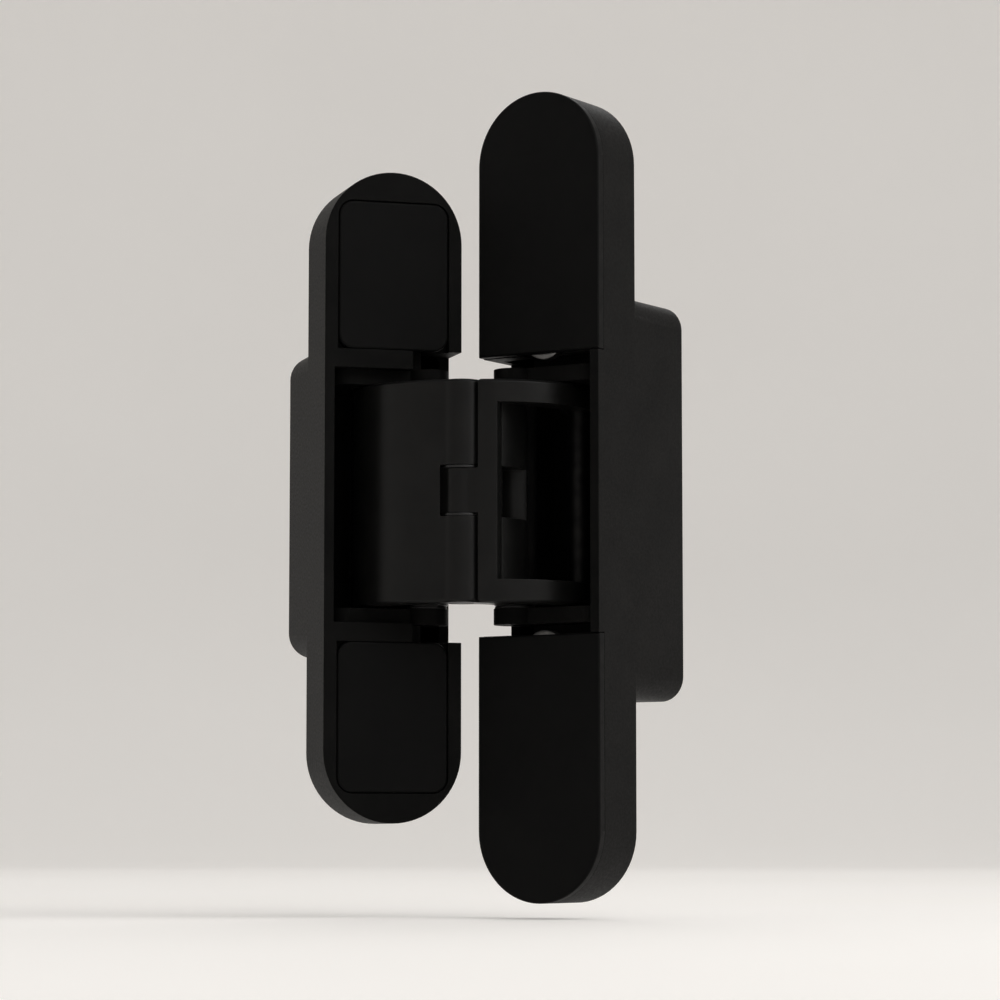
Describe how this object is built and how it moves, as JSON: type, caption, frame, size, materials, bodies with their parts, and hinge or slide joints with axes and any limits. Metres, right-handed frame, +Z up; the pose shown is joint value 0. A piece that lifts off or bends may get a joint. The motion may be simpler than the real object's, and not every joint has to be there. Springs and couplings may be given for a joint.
{
  "type": "concealed door hinge",
  "caption": "Concealed door hinge: round-ended black housings let into frame and leaf, flush covers over the screws, and crossed pinned arms that fold away into both housings.",
  "frame": {"origin": "Middle of the frame half's four wood-screw holes, on the back of its screw ends, where it seats in the frame.", "axes": "+Z is up along the hinge's length, +Y goes into the frame, +X runs across the frame half towards the side to which the leaf opens."},
  "size_m": [0.0739, 0.0521, 0.16],
  "materials": {
    "black_casting": "matte black powder coat on zinc die casting",
    "black_cover": "fine matte black coat",
    "steel": "ground steel",
    "polymer": "black sliding polymer"
  },
  "bodies": {
    "frame": {"frame_housing": "black_casting", "frame_cover_upper": "black_cover", "frame_cover_lower": "black_cover", "frame_clamp_screw_upper": "steel", "frame_clamp_screw_lower": "steel", "frame_clamp_washer_upper": "steel", "frame_clamp_washer_lower": "steel"},
    "frame_carriage": {"frame_carriage": "black_casting", "frame_arm_pin": "steel", "frame_slot_liner_upper": "polymer", "frame_slot_liner_lower": "polymer"},
    "frame_arm": {"frame_arm": "black_casting", "frame_arm_bush_upper": "polymer", "frame_arm_bush_lower": "polymer", "centre_bush": "polymer", "centre_washer_upper": "polymer", "centre_washer_lower": "polymer", "leaf_guide_pin": "steel"},
    "leaf_arm": {"leaf_arm": "black_casting", "leaf_arm_bush_upper": "polymer", "leaf_arm_bush_lower": "polymer", "centre_pin": "steel", "frame_guide_pin": "steel"},
    "leaf_carriage": {"leaf_carriage": "black_casting", "leaf_arm_pin": "steel", "leaf_slot_liner_upper": "polymer", "leaf_slot_liner_lower": "polymer"},
    "leaf": {"leaf_housing": "black_casting", "leaf_cover_upper": "black_cover", "leaf_cover_lower": "black_cover"},
    "side_adjuster_upper": {"side_adjuster_upper": "steel"},
    "side_adjuster_lower": {"side_adjuster_lower": "steel"}
  },
  "joints": [
    {"name": "height_setting", "type": "slide", "parent": "frame", "child": "frame_carriage", "axis": [0, 0, 1], "range_m": [-0.003, 0.003]},
    {"name": "frame_arm_swing", "type": "hinge", "parent": "frame_carriage", "child": "frame_arm", "pos_m": [0.0082, -0.0095, 0], "axis": [0, 0, 1], "range_deg": [-72.8, 28]},
    {"name": "arm_crossing", "type": "hinge", "parent": "frame_arm", "child": "leaf_arm", "pos_m": [0.01081, -0.02475, 0], "axis": [0, 0, 1], "range_deg": [-6.1, 15.7]},
    {"name": "leaf_swing", "type": "hinge", "parent": "leaf_arm", "child": "leaf_carriage", "pos_m": [0.02417, -0.01694, 0], "axis": [0, 0, 1], "range_deg": [-72.9, 28.1]},
    {"name": "side_setting", "type": "slide", "parent": "leaf_carriage", "child": "leaf", "axis": [-0.766, -0.6428, 0], "range_m": [-0.003, 0.003]},
    {"name": "side_adjuster_upper_turn", "type": "hinge", "parent": "leaf", "child": "side_adjuster_upper", "pos_m": [0.02905, -0.02355, 0.0312], "axis": [-0.766, -0.6428, 0], "range_deg": [-1081, 1081]},
    {"name": "side_adjuster_lower_turn", "type": "hinge", "parent": "leaf", "child": "side_adjuster_lower", "pos_m": [0.02905, -0.02355, -0.0312], "axis": [-0.766, -0.6428, 0], "range_deg": [-1081, 1081]}
  ],
  "couplings": [
    {"joint": "arm_crossing", "follows": "frame_arm_swing", "ratio": -0.21429},
    {"joint": "leaf_swing", "follows": "frame_arm_swing", "ratio": 1},
    {"joint": "side_adjuster_upper_turn", "follows": "side_setting", "rad_per_m": 6283.2},
    {"joint": "side_adjuster_lower_turn", "follows": "side_setting", "rad_per_m": 6283.2}
  ]
}
